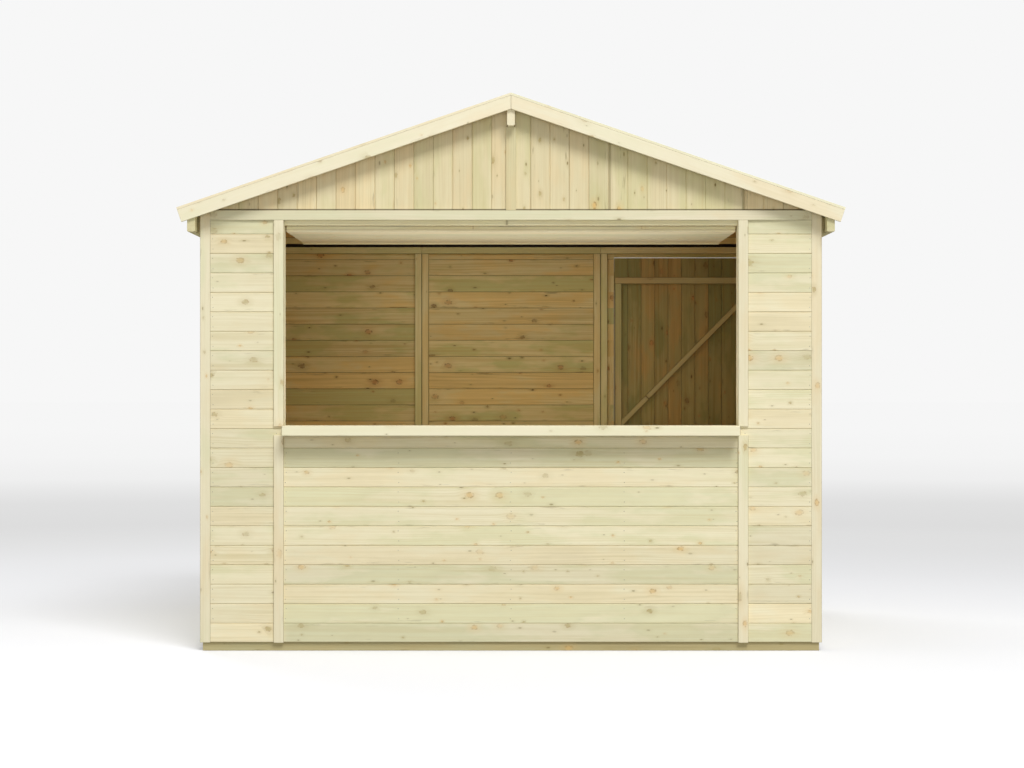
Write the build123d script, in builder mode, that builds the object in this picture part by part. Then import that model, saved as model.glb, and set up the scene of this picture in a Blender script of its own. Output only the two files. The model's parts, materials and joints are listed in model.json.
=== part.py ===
from build123d import *
from math import cos, radians, sin, tan
import os

# A timber market stall with an apex roof, a counter, a hatch and a back door.
# Millimetres. X to the right, Y to the back, Z up, origin under the middle of the floor.

# Overall sizes, over the cladding
stall_width = 3004.0
stall_depth = 2404.0
frame_height = 2029.0

# Floor
joist_height = 44.0
joist_width = 28.0
joist_rows = 7
floor_board = 12.0

# Walls
cladding = 12.0
cladding_drop = 13.0
stud_face = 40.0
stud_depth = 28.0
panel_gap = 1.0
back_panel_joint = 519.0
front_mid_studs = 3
side_mid_studs = 1

# Serving opening, counter and hatch
opening_width = 2194.0
lining = 13.0
lining_depth = 94.0
lower_panel_height = 984.0
header_height = 28.0
header_depth = 40.0
counter_edge = 48.0
counter_board = 20.0
counter_nose = 20.0
counter_projection = 110.0
counter_inset = 112.0
counter_end_gap = 0.5
hatch_board = 12.0
hatch_ledge = 16.0
hatch_ledge_width = 60.0
hatch_ledges_count = 5
hatch_rail_width = 45.0
hatch_lip_width = 40.0
hatch_side_gap = 6.0
hatch_top_gap = 5.0
hatch_bottom_gap = 7.0

# Back door
door_width = 780.0
door_height = 1958.0
door_jamb_strip = 39.5
door_gap = 5.0
door_sill_gap = 6.0
door_head_gap = 5.0
door_timber = 38.0
door_brace_width = 28.0
door_brace_angle = 45.5
door_top_ledge_drop = 111.0
door_mid_ledge_top = 984.0
door_bottom_ledge_rise = 74.0

# Roof
roof_pitch = 18.93
roof_seat = 73.8
roof_board = 12.0
roof_side_overhang = 103.0
roof_end_overhang = 90.0
barge_width = 62.0
barge_thickness = 16.0
ridge_beam_width = 38.0
ridge_beam_depth = 144.0
eaves_beam_width = 38.0
eaves_beam_depth = 127.0
eaves_spacer = 15.0
eaves_spacer_setback = 50.0
purlin_width = 28.0
purlin_depth = 40.0
gable_rail_gap = 16.0
gable_post_width = 39.0

# Trims
trim = 12.0
trim_width = 49.0
corner_strip_width = 50.0
trim_drop = 3.0
trim_joint_below = 42.0
trim_joint_above = 4.0
top_trim_width = 48.0
top_trim_overlap = 5.0
timber_easing = 4.0

# Hinges and handle
knuckle_radius = 5.0
pin_radius = 2.2
pin_clearance = 0.3
knuckle_gap = 0.5
strap_length = 300.0
strap_width = 34.0
strap_tip_width = 20.0
hinge_metal = 3.0
hinge_plate_length = 110.0
door_plate_width = 34.0
hatch_plate_width = 16.0
hatch_hinge_lift = 1.0
handle_inset = 70.0
handle_height = 1000.0
handle_plate_width = 36.0
handle_plate_height = 110.0
handle_plate = 2.0
handle_stem_radius = 6.0
handle_reach = 36.0
handle_bar_length = 90.0
handle_bar_radius = 7.0

# Planes that the pieces share
wall_x = stall_width / 2
wall_y = stall_depth / 2
frame_x = wall_x - cladding
frame_y = wall_y - cladding
inner_x = frame_x - stud_depth
inner_y = frame_y - stud_depth
floor_top = joist_height + floor_board
frame_top = floor_top + frame_height
cladding_bottom = floor_top - cladding_drop
trim_bottom = cladding_bottom - trim_drop
rail_bottom = floor_top + stud_face
rail_top = frame_top - stud_face
front_plane = Plane.XZ.offset(wall_y)
slope = tan(radians(roof_pitch))
slope_cos = cos(radians(roof_pitch))
slope_sin = sin(radians(roof_pitch))
ridge_underside = frame_top + roof_seat + wall_x * slope


def underside(x):
    """Height of the underside of the roof boards at a distance x from the ridge line."""
    return ridge_underside - abs(x) * slope


def timber(x, y, z):
    """A straight piece between the low and high values of x, y and z."""
    centre = ((x[0] + x[1]) / 2, (y[0] + y[1]) / 2, (z[0] + z[1]) / 2)
    with Locations(centre):
        Box(x[1] - x[0], y[1] - y[0], z[1] - z[0])


def mirrored_timber(x, y, z):
    """The same piece on the left and the right of the stall."""
    timber(x, y, z)
    timber((-x[1], -x[0]), y, z)


def outline(points, y):
    """A piece cut to an outline seen from the front, between two values of y."""
    with BuildSketch(Plane.XZ.offset(-y[1])) as face:
        with BuildLine():
            Polyline(*points, close=True)
        make_face()
    extrude(face.sketch, amount=y[1] - y[0])


def mirrored_outline(points, y):
    """The same outline on the left and the right of the stall."""
    outline(points, y)
    outline([(-x, z) for x, z in points], y)


def spaced(low, high, count):
    """Places of a number of pieces set evenly between two values, ends left out."""
    return [low + (high - low) * (i + 1) / (count + 1) for i in range(count)]


def hinge_strap(plane):
    """The moving half of a T hinge. The plane lies on the pin, with x along the strap."""
    with BuildSketch(plane.offset(-knuckle_radius)) as blade:
        with BuildLine():
            Polyline(
                (0, -strap_width / 2),
                (strap_length - strap_tip_width / 2, -strap_tip_width / 2),
                (strap_length - strap_tip_width / 2, strap_tip_width / 2),
                (0, strap_width / 2),
                close=True,
            )
        make_face()
        with Locations((strap_length - strap_tip_width / 2, 0)):
            Circle(strap_tip_width / 2)
    extrude(blade.sketch, amount=hinge_metal)
    along_pin = Plane(plane.origin, x_dir=plane.x_dir, z_dir=plane.y_dir)
    with BuildSketch(along_pin.offset(-strap_width / 2)) as knuckle:
        Circle(knuckle_radius)
    extrude(knuckle.sketch, amount=strap_width)
    with BuildSketch(along_pin.offset(-strap_width / 2)) as bore:
        Circle(pin_radius + pin_clearance)
    extrude(bore.sketch, amount=strap_width, mode=Mode.SUBTRACT)


def hinge_plate(plane, width, lift):
    """The fixed half of a T hinge, with its pin. It lies on the other side of the pin."""
    near = -knuckle_radius - knuckle_gap
    half_strap = strap_width / 2 + knuckle_gap
    half_plate = hinge_plate_length / 2
    with BuildSketch(plane.offset(-knuckle_radius - lift)) as plate:
        with Locations((near - width / 2, 0)):
            Rectangle(width, hinge_plate_length)
        for side in (-1, 1):
            with Locations((near / 2, side * (half_strap + half_plate) / 2)):
                Rectangle(-near, half_plate - half_strap)
    extrude(plate.sketch, amount=hinge_metal)
    along_pin = Plane(plane.origin, x_dir=plane.x_dir, z_dir=plane.y_dir)
    for start in (-half_plate, half_strap):
        with BuildSketch(along_pin.offset(start)) as knuckle:
            Circle(knuckle_radius)
        extrude(knuckle.sketch, amount=half_plate - half_strap)
    with BuildSketch(along_pin.offset(-half_plate)) as pin:
        Circle(pin_radius)
    extrude(pin.sketch, amount=hinge_plate_length)


def finish(part, name):
    """Label a finished piece and write its file."""
    part.label = name
    export_step(part, f"parts/{name}.step")


os.makedirs("parts", exist_ok=True)

# Floor: bearers along the stall with boards across them
joist_span = 2 * frame_y - joist_width
with BuildPart() as floor_joists:
    with GridLocations(1, joist_span / (joist_rows - 1), 1, joist_rows):
        Box(
            2 * frame_x,
            joist_width,
            joist_height,
            align=(Align.CENTER, Align.CENTER, Align.MIN),
        )
finish(floor_joists.part, "floor_joists")

with BuildPart() as floor_boards:
    timber((-frame_x, frame_x), (-frame_y, frame_y), (joist_height, floor_top))
finish(floor_boards.part, "floor_boards")

# Side walls: two framed panels each
half_gap = panel_gap / 2
side_panels = ((-frame_y, -half_gap), (half_gap, frame_y))
side_boards_top = underside(wall_x) - half_gap

with BuildPart() as side_wall_rails:
    for panel in side_panels:
        mirrored_timber((inner_x, frame_x), panel, (floor_top, rail_bottom))
        mirrored_timber((inner_x, frame_x), panel, (rail_top, frame_top))
finish(side_wall_rails.part, "side_wall_rails")

with BuildPart() as side_wall_studs:
    for low, high in side_panels:
        middles = spaced(low + stud_face / 2, high - stud_face / 2, side_mid_studs)
        for y in (low + stud_face / 2, *middles, high - stud_face / 2):
            mirrored_timber(
                (inner_x, frame_x),
                (y - stud_face / 2, y + stud_face / 2),
                (rail_bottom, rail_top),
            )
finish(side_wall_studs.part, "side_wall_studs")

with BuildPart() as side_wall_boards:
    for panel in side_panels:
        mirrored_timber((frame_x, wall_x), panel, (cladding_bottom, side_boards_top))
finish(side_wall_boards.part, "side_wall_boards")

# Front wall: a full panel each side of the serving opening and a low one under it
opening_x = opening_width / 2
side_panel_x = opening_x + lining
lower_panel_x = side_panel_x - panel_gap
corner_x = wall_x - corner_strip_width
lower_panel_top = floor_top + lower_panel_height
header_bottom = frame_top - header_height
front_frame = (-frame_y, -inner_y)
front_face = (-wall_y, -frame_y)

with BuildPart() as front_rails:
    mirrored_timber((side_panel_x, inner_x), front_frame, (floor_top, rail_bottom))
    mirrored_timber((side_panel_x, inner_x), front_frame, (rail_top, frame_top))
    for z in ((floor_top, rail_bottom), (lower_panel_top - stud_face, lower_panel_top)):
        timber((-lower_panel_x, lower_panel_x), front_frame, z)
finish(front_rails.part, "front_rails")

with BuildPart() as front_studs:
    for x in (side_panel_x, inner_x - stud_face):
        mirrored_timber((x, x + stud_face), front_frame, (rail_bottom, rail_top))
    lower_end = lower_panel_x - stud_face / 2
    for x in (-lower_end, *spaced(-lower_end, lower_end, front_mid_studs), lower_end):
        timber(
            (x - stud_face / 2, x + stud_face / 2),
            front_frame,
            (rail_bottom, lower_panel_top - stud_face),
        )
finish(front_studs.part, "front_studs")

with BuildPart() as front_header:
    timber(
        (-side_panel_x, side_panel_x),
        (-frame_y, -frame_y + header_depth),
        (header_bottom, frame_top),
    )
finish(front_header.part, "front_header")

with BuildPart() as front_side_boards:
    mirrored_timber((side_panel_x, corner_x), front_face, (cladding_bottom, frame_top))
finish(front_side_boards.part, "front_side_boards")

with BuildPart() as front_lower_boards:
    timber(
        (-lower_panel_x, lower_panel_x), front_face, (cladding_bottom, lower_panel_top)
    )
finish(front_lower_boards.part, "front_lower_boards")

with BuildPart() as front_linings:
    mirrored_timber(
        (opening_x, side_panel_x),
        (-wall_y, -wall_y + lining_depth),
        (lower_panel_top, header_bottom),
    )
finish(front_linings.part, "front_linings")

# Counter: bearers on the low panel, boards on them and a nosing along the front
counter_x = opening_x - counter_end_gap
counter_front = -wall_y - counter_projection
counter_back = -wall_y + counter_inset
counter_top = lower_panel_top + counter_edge
board_bottom = counter_top - counter_board
nose_back = counter_front + counter_nose
bearer_end = counter_x - stud_face / 2

with BuildPart() as counter_bearers:
    for x in (-bearer_end, *spaced(-bearer_end, bearer_end, front_mid_studs), bearer_end):
        timber(
            (x - stud_face / 2, x + stud_face / 2),
            (nose_back, counter_back),
            (lower_panel_top, board_bottom),
        )
finish(counter_bearers.part, "counter_bearers")

with BuildPart() as counter_boards:
    timber((-counter_x, counter_x), (nose_back, counter_back), (board_bottom, counter_top))
    inner_edge = counter_boards.edges().filter_by(Axis.X).group_by(Axis.Y)[-1]
    fillet(inner_edge.sort_by(Axis.Z)[-1], timber_easing)
finish(counter_boards.part, "counter_boards")

with BuildPart() as counter_nosing:
    timber((-counter_x, counter_x), (counter_front, nose_back), (lower_panel_top, counter_top))
    fillet(counter_nosing.edges().filter_by(Axis.X).group_by(Axis.Y)[0], timber_easing)
finish(counter_nosing.part, "counter_nosing")

# Back wall: three panels, with the door in the right one as seen from the front
back_frame = (inner_y, frame_y)
back_face = (frame_y, wall_y)
joint_in = back_panel_joint - half_gap
joint_out = back_panel_joint + half_gap
doorway_left = joint_out + stud_face + door_jamb_strip
doorway_right = doorway_left + door_width + 2 * door_gap
door_bottom = floor_top + door_sill_gap
door_top = door_bottom + door_height
doorway_top = door_top + door_head_gap

with BuildPart() as back_rails:
    for z in ((floor_top, rail_bottom), (rail_top, frame_top)):
        timber((-inner_x, -joint_out), back_frame, z)
        timber((-joint_in, joint_in), back_frame, z)
    timber((joint_out, inner_x), back_frame, (rail_top, frame_top))
    timber((joint_out, doorway_left), back_frame, (floor_top, rail_bottom))
    timber((doorway_right, inner_x), back_frame, (floor_top, rail_bottom))
finish(back_rails.part, "back_rails")

with BuildPart() as back_studs:
    for x in (joint_in - stud_face, joint_out, inner_x - stud_face):
        mirrored_timber((x, x + stud_face), back_frame, (rail_bottom, rail_top))
finish(back_studs.part, "back_studs")

with BuildPart() as back_boards:
    timber((-corner_x, -joint_out), back_face, (cladding_bottom, frame_top))
    timber((-joint_in, joint_in), back_face, (cladding_bottom, frame_top))
    timber((joint_out, doorway_left), back_face, (cladding_bottom, frame_top))
    timber((doorway_right, corner_x), back_face, (cladding_bottom, frame_top))
finish(back_boards.part, "back_boards")

with BuildPart() as back_over_door_boards:
    timber((doorway_left, doorway_right), back_face, (doorway_top, frame_top))
finish(back_over_door_boards.part, "back_over_door_boards")

# Gables: boards, a rail, rafters and a post under the ridge beam
post_x = gable_post_width / 2
ridge_beam_bottom = ridge_underside - ridge_beam_depth
gable_rail = (frame_top + gable_rail_gap, frame_top + gable_rail_gap + stud_face)
rafter_drop = stud_face / slope_cos
rafter_toe = (ridge_underside - rafter_drop - gable_rail[1]) / slope
header_back = -frame_y + header_depth

with BuildPart() as gable_posts:
    timber((-post_x, post_x), (-wall_y, header_back), (frame_top, ridge_beam_bottom))
    timber((-post_x, post_x), (-header_back, wall_y), (frame_top, ridge_beam_bottom))
finish(gable_posts.part, "gable_posts")

with BuildPart() as gable_boards:
    half_gable = (
        (post_x, frame_top),
        (corner_x, frame_top),
        (corner_x, underside(corner_x)),
        (post_x, underside(post_x)),
    )
    for y in (front_face, back_face):
        mirrored_outline(half_gable, y)
finish(gable_boards.part, "gable_boards")

with BuildPart() as gable_rails:
    for y in (front_frame, back_frame):
        mirrored_timber((post_x, inner_x), y, gable_rail)
finish(gable_rails.part, "gable_rails")

with BuildPart() as gable_rafters:
    half_rafter = (
        (post_x, underside(post_x) - rafter_drop),
        (rafter_toe, gable_rail[1]),
        (inner_x, gable_rail[1]),
        (inner_x, underside(inner_x)),
        (post_x, underside(post_x)),
    )
    for y in (front_frame, back_frame):
        mirrored_outline(half_rafter, y)
finish(gable_rafters.part, "gable_rafters")

# Roof: boards down the slope on a ridge beam, purlins, wall plates and eaves beams
roof_y = wall_y + roof_end_overhang
beam_y = roof_y - barge_thickness
eaves_x = wall_x + roof_side_overhang
ridge_top = ridge_underside + roof_board / slope_cos
eaves_top = ridge_top - eaves_x * slope
eaves_foot = (eaves_x - roof_board * slope_sin, eaves_top - roof_board * slope_cos)
half_roof = ((0, ridge_underside), eaves_foot, (eaves_x, eaves_top), (0, ridge_top))

with BuildPart() as roof_left:
    outline([(-x, z) for x, z in half_roof], (-roof_y, roof_y))
finish(roof_left.part, "roof_left")

with BuildPart() as roof_right:
    outline(half_roof, (-roof_y, roof_y))
finish(roof_right.part, "roof_right")

with BuildPart() as ridge_beam:
    half_beam = ridge_beam_width / 2
    outline(
        (
            (-half_beam, ridge_beam_bottom),
            (half_beam, ridge_beam_bottom),
            (half_beam, underside(half_beam)),
            (0, ridge_underside),
            (-half_beam, underside(half_beam)),
        ),
        (-beam_y, beam_y),
    )
    chamfer(ridge_beam.edges().filter_by(Axis.Y).group_by(Axis.Z)[0], timber_easing)
finish(ridge_beam.part, "ridge_beam")

with BuildPart() as purlins:
    purlin_x = inner_x / 2
    purlin_run = purlin_width / 2 * slope_cos
    purlin_low = purlin_x - purlin_run
    purlin_high = purlin_x + purlin_run
    back_x = purlin_depth * slope_sin
    drop_z = purlin_depth * slope_cos
    mirrored_outline(
        (
            (purlin_low, underside(purlin_low)),
            (purlin_high, underside(purlin_high)),
            (purlin_high - back_x, underside(purlin_high) - drop_z),
            (purlin_low - back_x, underside(purlin_low) - drop_z),
        ),
        (-inner_y, inner_y),
    )
finish(purlins.part, "purlins")

with BuildPart() as wall_plates:
    mirrored_outline(
        (
            (inner_x, frame_top),
            (frame_x, frame_top),
            (frame_x, underside(frame_x)),
            (inner_x, underside(inner_x)),
        ),
        (-frame_y, frame_y),
    )
finish(wall_plates.part, "wall_plates")

spacer_x = wall_x + eaves_spacer
beam_x = spacer_x + eaves_beam_width
spacer_end = wall_y - eaves_spacer_setback
eaves_beam_bottom = underside((spacer_x + beam_x) / 2) - eaves_beam_depth

with BuildPart() as eaves_battens:
    mirrored_outline(
        (
            (wall_x, eaves_beam_bottom),
            (spacer_x, eaves_beam_bottom),
            (spacer_x, underside(spacer_x)),
            (wall_x, underside(wall_x)),
        ),
        (-spacer_end, spacer_end),
    )
finish(eaves_battens.part, "eaves_battens")

with BuildPart() as eaves_beams:
    mirrored_outline(
        (
            (spacer_x, eaves_beam_bottom),
            (beam_x, eaves_beam_bottom),
            (beam_x, underside(beam_x)),
            (spacer_x, underside(spacer_x)),
        ),
        (-beam_y, beam_y),
    )
    chamfer(eaves_beams.edges().filter_by(Axis.Y).group_by(Axis.Z)[0], timber_easing)
finish(eaves_beams.part, "eaves_beams")

# Barge boards: one each side of both gables, mitred at the ridge and square at the eaves
barge_drop = barge_width / slope_cos
barge_foot = (
    eaves_foot[0] - barge_width * slope_sin,
    eaves_foot[1] - barge_width * slope_cos,
)
half_barge = (
    (half_gap, underside(half_gap) - barge_drop),
    barge_foot,
    eaves_foot,
    (half_gap, underside(half_gap)),
)

with BuildPart() as barge_boards:
    mirrored_outline(half_barge, (-roof_y, -beam_y))
    mirrored_outline(half_barge, (beam_y, roof_y))
finish(barge_boards.part, "barge_boards")

# Trims on the outside
with BuildPart() as corner_strips:
    strip = (
        (corner_x, trim_bottom),
        (wall_x, trim_bottom),
        (wall_x, underside(wall_x)),
        (corner_x, underside(corner_x)),
    )
    for y in (front_face, back_face):
        mirrored_outline(strip, y)
finish(corner_strips.part, "corner_strips")

front_trim = (-wall_y - trim, -wall_y)
back_trim = (wall_y, wall_y + trim)
top_trim_bottom = frame_top - top_trim_overlap
top_trim_top = top_trim_bottom + top_trim_width
half_trim = trim_width / 2

with BuildPart() as jamb_trims:
    jamb = (opening_x, opening_x + trim_width)
    mirrored_timber(jamb, front_trim, (trim_bottom, counter_top - trim_joint_above - trim_joint_below))
    mirrored_timber(jamb, front_trim, (counter_top - trim_joint_above, top_trim_bottom))
finish(jamb_trims.part, "jamb_trims")

with BuildPart() as top_trims:
    for y in (front_trim, back_trim):
        timber((-corner_x, corner_x), y, (top_trim_bottom, top_trim_top))
finish(top_trims.part, "top_trims")

with BuildPart() as joint_trims:
    for y in (front_trim, back_trim):
        timber((-half_trim, half_trim), y, (top_trim_top, ridge_beam_bottom))
    mirrored_timber(
        (back_panel_joint - half_trim, back_panel_joint + half_trim),
        back_trim,
        (trim_bottom, top_trim_bottom),
    )
    mirrored_timber(
        (wall_x, wall_x + trim),
        (-half_trim, half_trim),
        (trim_bottom, eaves_beam_bottom),
    )
finish(joint_trims.part, "joint_trims")

# Hatch: boards face down and ledges up, stowed flat behind the header
hatch_x = opening_x - hatch_side_gap
hatch_stowed_top = header_bottom
hatch_pin_z = hatch_stowed_top + knuckle_radius
hatch_pin_y = header_back + knuckle_radius + hatch_hinge_lift
hatch_front = hatch_pin_y + knuckle_radius + hatch_top_gap
hatch_shut_top = header_bottom - hatch_top_gap
hatch_length = hatch_shut_top - counter_top - hatch_bottom_gap
hatch_back = hatch_front + hatch_length
hatch_mid = hatch_stowed_top - hatch_ledge
hatch_bottom = hatch_mid - hatch_board
ledge_end = hatch_x - hatch_ledge_width / 2
hatch_ledge_places = (
    -ledge_end,
    *spaced(-ledge_end, ledge_end, hatch_ledges_count - 2),
    ledge_end,
)

with BuildPart() as hatch_boards:
    timber((-hatch_x, hatch_x), (hatch_front, hatch_back), (hatch_bottom, hatch_mid))
finish(hatch_boards.part, "hatch_boards")

hatch_rail_back = hatch_front + hatch_rail_width

with BuildPart() as hatch_battens:
    timber((-hatch_x, hatch_x), (hatch_front, hatch_rail_back), (hatch_mid, hatch_stowed_top))
    for x in hatch_ledge_places:
        timber(
            (x - hatch_ledge_width / 2, x + hatch_ledge_width / 2),
            (hatch_rail_back + panel_gap, hatch_back),
            (hatch_mid, hatch_stowed_top),
        )
    timber(
        (-hatch_x, hatch_x),
        (hatch_back - hatch_lip_width, hatch_back),
        (hatch_bottom - trim, hatch_bottom),
    )
finish(hatch_battens.part, "hatch_battens")

hatch_hinge_places = hatch_ledge_places[1:-1]

with BuildPart() as hatch_hinge_straps:
    for x in hatch_hinge_places:
        hinge_strap(Plane((x, hatch_pin_y, hatch_pin_z), x_dir=(0, 1, 0), z_dir=(0, 0, 1)))
finish(hatch_hinge_straps.part, "hatch_hinge_straps")

# Door: boards outside, a ledged and braced frame inside
door_left = doorway_left + door_gap
door_right = door_left + door_width
stile_in = door_left + door_timber
stile_out = door_right - door_timber
bottom_ledge_top = door_bottom + door_bottom_ledge_rise + door_timber
mid_ledge_top = floor_top + door_mid_ledge_top
top_ledge_top = door_top - door_top_ledge_drop
ledge_tops = (bottom_ledge_top, mid_ledge_top, top_ledge_top)

with BuildPart() as door_boards:
    timber((door_left, door_right), back_face, (door_bottom, door_top))
finish(door_boards.part, "door_boards")

with BuildPart() as door_ledges:
    for z in ledge_tops:
        timber((door_left, door_right), back_frame, (z - door_timber, z))
finish(door_ledges.part, "door_ledges")

with BuildPart() as door_stiles:
    for low, high in zip(ledge_tops, ledge_tops[1:]):
        timber((door_left, stile_in), back_frame, (low, high - door_timber))
        timber((stile_out, door_right), back_frame, (low, high - door_timber))
finish(door_stiles.part, "door_stiles")

brace_rise = (stile_out - stile_in) * tan(radians(door_brace_angle))
brace_height = door_brace_width / cos(radians(door_brace_angle))

with BuildPart() as door_braces:
    for z in ledge_tops[:2]:
        outline(
            (
                (stile_in, z),
                (stile_out, z + brace_rise),
                (stile_out, z + brace_rise + brace_height),
                (stile_in, z + brace_height),
            ),
            back_frame,
        )
finish(door_braces.part, "door_braces")

door_pin_x = doorway_left + door_gap / 2
door_pin_y = wall_y + knuckle_radius
door_hinges = [
    Plane((door_pin_x, door_pin_y, z - door_timber / 2), x_dir=(1, 0, 0), z_dir=(0, 1, 0))
    for z in ledge_tops
]

with BuildPart() as door_hinge_straps:
    for hinge in door_hinges:
        hinge_strap(hinge)
finish(door_hinge_straps.part, "door_hinge_straps")

with BuildPart() as door_handle:
    with BuildSketch(Plane.XZ.offset(-wall_y)) as plate:
        with Locations((door_right - handle_inset, handle_height)):
            RectangleRounded(handle_plate_width, handle_plate_height, timber_easing)
    extrude(amount=-handle_plate)
    with BuildSketch(Plane.XZ.offset(-wall_y)) as stem:
        with Locations((door_right - handle_inset, handle_height)):
            Circle(handle_stem_radius)
    extrude(amount=-handle_reach)
    with BuildSketch(Plane.YZ.offset(door_right - handle_inset - handle_bar_length / 2)) as bar:
        with Locations((wall_y + handle_reach, handle_height)):
            Circle(handle_bar_radius)
    extrude(amount=handle_bar_length)
finish(door_handle.part, "door_handle")

# Fixed halves of the hinges, with their pins
with BuildPart() as hinge_plates:
    for hinge in door_hinges:
        hinge_plate(hinge, door_plate_width, 0)
    for x in hatch_hinge_places:
        hinge_plate(
            Plane((x, hatch_pin_y, hatch_pin_z), x_dir=(0, 0, -1), z_dir=(0, 1, 0)),
            hatch_plate_width,
            hatch_hinge_lift,
        )
finish(hinge_plates.part, "hinge_plates")
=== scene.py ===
import contextlib
import json
import math
import random

import bmesh
import bpy
import numpy as np
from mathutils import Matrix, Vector


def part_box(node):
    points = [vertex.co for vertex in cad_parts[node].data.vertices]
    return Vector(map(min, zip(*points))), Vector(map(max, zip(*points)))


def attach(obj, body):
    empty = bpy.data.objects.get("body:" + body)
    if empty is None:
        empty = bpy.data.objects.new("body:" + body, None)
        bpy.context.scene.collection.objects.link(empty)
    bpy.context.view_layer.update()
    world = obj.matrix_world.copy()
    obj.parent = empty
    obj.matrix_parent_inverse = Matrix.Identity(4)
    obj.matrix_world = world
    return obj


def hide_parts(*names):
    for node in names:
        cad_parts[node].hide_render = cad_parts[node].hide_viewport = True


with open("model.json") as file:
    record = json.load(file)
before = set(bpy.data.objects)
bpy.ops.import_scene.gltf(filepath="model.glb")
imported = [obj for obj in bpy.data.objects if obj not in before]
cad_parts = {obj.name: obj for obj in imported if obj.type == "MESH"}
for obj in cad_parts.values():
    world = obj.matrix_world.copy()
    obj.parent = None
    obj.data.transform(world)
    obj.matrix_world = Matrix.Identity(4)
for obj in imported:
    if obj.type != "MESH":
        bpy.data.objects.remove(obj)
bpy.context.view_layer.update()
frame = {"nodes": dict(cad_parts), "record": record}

chance = random.Random(11)

X, Y, Z = 0, 1, 2
ROOF_PITCH = math.radians(18.93)
BOARD_COVER = 0.094
DOOR_BOARD_COVER = 0.078
BOARD_GAP = 0.0012
TONGUE = 0.004
V_JOINT = 0.0024
INNER_JOINT = 0.0008
FIRST_SEAM_Z = 0.0385
EASING = 0.0016
ROOF_LAP = 0.006
DOOR_TONGUE = 0.0042
DOOR_HEAD_TONGUE = DOOR_TONGUE * 0.85
DOOR_SEAM_SHIFT = 0.0036
LIP_RISE = 0.0045
LIP_FOOT = 0.006
HINGE_METAL = 0.003
NAIL_SHARES = (0.24, 0.76)
NAIL_RADIUS = 0.0021
NAIL_HEIGHT = 0.0004
NAIL_STRAY = 0.004
BOLT_REACHES = (0.055, 0.15, 0.245)
BOLT_RADIUS = 0.0065
BOLT_HEIGHT = 0.0022
CLOSE = 1e-6

body_of = {
    node: body
    for body, nodes in frame["record"]["behaviour"]["bodies"].items()
    for node in nodes
}


# Working with pieces
def deselect():
    """Leave nothing selected, in object mode."""
    if bpy.context.object and bpy.context.object.mode != "OBJECT":
        bpy.ops.object.mode_set(mode="OBJECT")
    bpy.ops.object.select_all(action="DESELECT")


def choose(piece):
    """Select one piece alone."""
    deselect()
    piece.select_set(True)
    bpy.context.view_layer.objects.active = piece


@contextlib.contextmanager
def editing(piece):
    """Edit mode on one piece, with everything selected to start with."""
    choose(piece)
    bpy.ops.object.mode_set(mode="EDIT")
    bpy.ops.mesh.select_mode(type="VERT")
    bpy.ops.mesh.select_all(action="SELECT")
    yield
    bpy.ops.object.mode_set(mode="OBJECT")


def pick_faces(test):
    """Select only the faces that pass the test, in edit mode."""
    mesh = bpy.context.object.data
    bpy.ops.mesh.select_mode(type="FACE")
    bpy.ops.mesh.select_all(action="DESELECT")
    shape = bmesh.from_edit_mesh(mesh)
    for face in shape.faces:
        if test(face):
            face.select_set(True)
    bmesh.update_edit_mesh(mesh)


def pick_edges(test):
    """Select only the edges that pass the test, in edit mode."""
    mesh = bpy.context.object.data
    bpy.ops.mesh.select_mode(type="EDGE")
    bpy.ops.mesh.select_all(action="DESELECT")
    shape = bmesh.from_edit_mesh(mesh)
    for edge in shape.edges:
        if test(edge):
            edge.select_set(True)
    bmesh.update_edit_mesh(mesh)


def box_piece(name, low, high):
    """A piece that starts as a box between two corners."""
    deselect()
    middle = [(a + b) / 2 for a, b in zip(low, high)]
    size = [b - a for a, b in zip(low, high)]
    bpy.ops.mesh.primitive_cube_add(size=1, location=middle, scale=size)
    piece = bpy.context.object
    piece.name = name
    bpy.ops.object.transform_apply(location=True, rotation=True, scale=True)
    return piece


def apply_modifier(piece, kind, **settings):
    """Add a modifier with its settings and apply it."""
    choose(piece)
    modifier = piece.modifiers.new(kind.title(), kind)
    for key, value in settings.items():
        setattr(modifier, key, value)
    bpy.ops.object.modifier_apply(modifier=modifier.name)


def join(name, pieces):
    """One piece made of several."""
    deselect()
    for piece in pieces:
        piece.select_set(True)
    bpy.context.view_layer.objects.active = pieces[0]
    if len(pieces) > 1:
        bpy.ops.object.join()
    pieces[0].name = name
    return pieces[0]


def axis(index):
    """The unit vector of an axis."""
    return Vector([1.0 if i == index else 0.0 for i in range(3)])


def cut(piece, place, normal):
    """Cut the piece by a plane and drop what lies on the side of its normal."""
    with editing(piece):
        bpy.ops.mesh.bisect(
            plane_co=place, plane_no=normal, use_fill=True, clear_outer=True, threshold=CLOSE
        )


def loose_parts(mesh):
    """For each vertex, the number of the loose part that it belongs to."""
    parent = list(range(len(mesh.vertices)))

    def root(i):
        while parent[i] != i:
            parent[i] = parent[parent[i]]
            i = parent[i]
        return i

    places = {}
    for vertex in mesh.vertices:
        key = tuple(round(c, 5) for c in vertex.co)
        parent[root(vertex.index)] = root(places.setdefault(key, vertex.index))
    for edge in mesh.edges:
        a, b = (root(i) for i in edge.vertices)
        if a != b:
            parent[a] = b
    return np.array([root(i) for i in range(len(mesh.vertices))])


def solid_boxes(node):
    """The lowest and highest corners of each solid of a CAD node."""
    mesh = frame["nodes"][node].data
    points = np.array([vertex.co for vertex in mesh.vertices])
    roots = loose_parts(mesh)
    found = []
    for number in np.unique(roots):
        own = points[roots == number]
        found.append((own.min(0), own.max(0)))
    return found


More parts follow.
